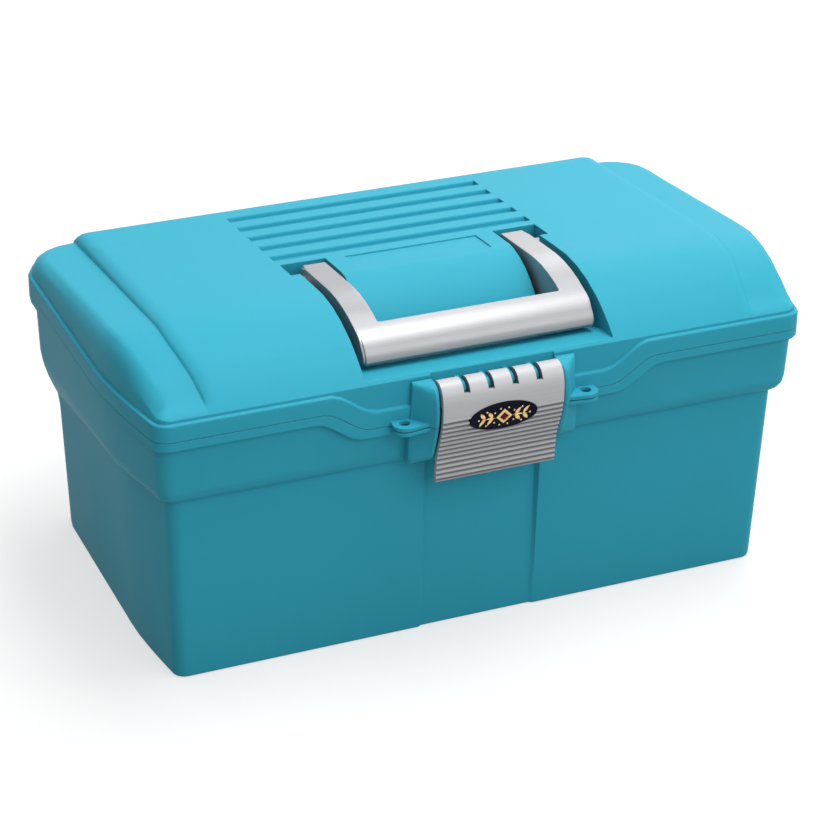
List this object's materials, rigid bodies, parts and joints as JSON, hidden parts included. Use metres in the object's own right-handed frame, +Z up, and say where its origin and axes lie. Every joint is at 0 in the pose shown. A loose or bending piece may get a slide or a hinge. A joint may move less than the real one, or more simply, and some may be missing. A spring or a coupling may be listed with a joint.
{
  "type": "tack box",
  "caption": "Moulded carry box with a domed hinged lid, fold-down handle, front latch plate and a lift-out compartment tray.",
  "frame": {"origin": "on the surface the box stands on, at the middle of its length and depth", "axes": "+X along the box to the right as seen from the front, -Y towards the latch, +Z up"},
  "size_m": [0.4016, 0.2591, 0.1926],
  "materials": {
    "teal": "fine matte moulded texture",
    "silver": "satin silver-coloured plastic",
    "badge": "glossy dark navy",
    "ornament": "polished gold colour",
    "steel": "bright drawn wire"
  },
  "bodies": {
    "base": {"base_tub": "teal", "hinge_pin_left": "steel", "hinge_pin_right": "steel"},
    "lid": {"lid_shell": "teal", "latch_rod": "steel", "handle_pin_left": "steel", "handle_pin_right": "steel"},
    "handle": {"carry_handle": "silver"},
    "latch": {"latch_plate": "silver", "latch_badge": "badge", "badge_ornament": "ornament"},
    "tray": {"lift_out_tray": "teal"}
  },
  "joints": [
    {"name": "lid_hinge", "type": "hinge", "parent": "base", "child": "lid", "pos_m": [0, 0.1232, 0.153], "axis": [-1, 0, 0], "range_deg": [0, 105]},
    {"name": "handle_swing", "type": "hinge", "parent": "lid", "child": "handle", "pos_m": [0, -0.009, 0.18], "axis": [-1, 0, 0], "range_deg": [0, 90]},
    {"name": "latch_swing", "type": "hinge", "parent": "lid", "child": "latch", "pos_m": [0, -0.1202, 0.1598], "axis": [-1, 0, 0], "range_deg": [0, 100]},
    {"name": "tray_lift", "type": "slide", "parent": "base", "child": "tray", "axis": [0, 0, 1], "range_m": [0, 0.01]}
  ]
}
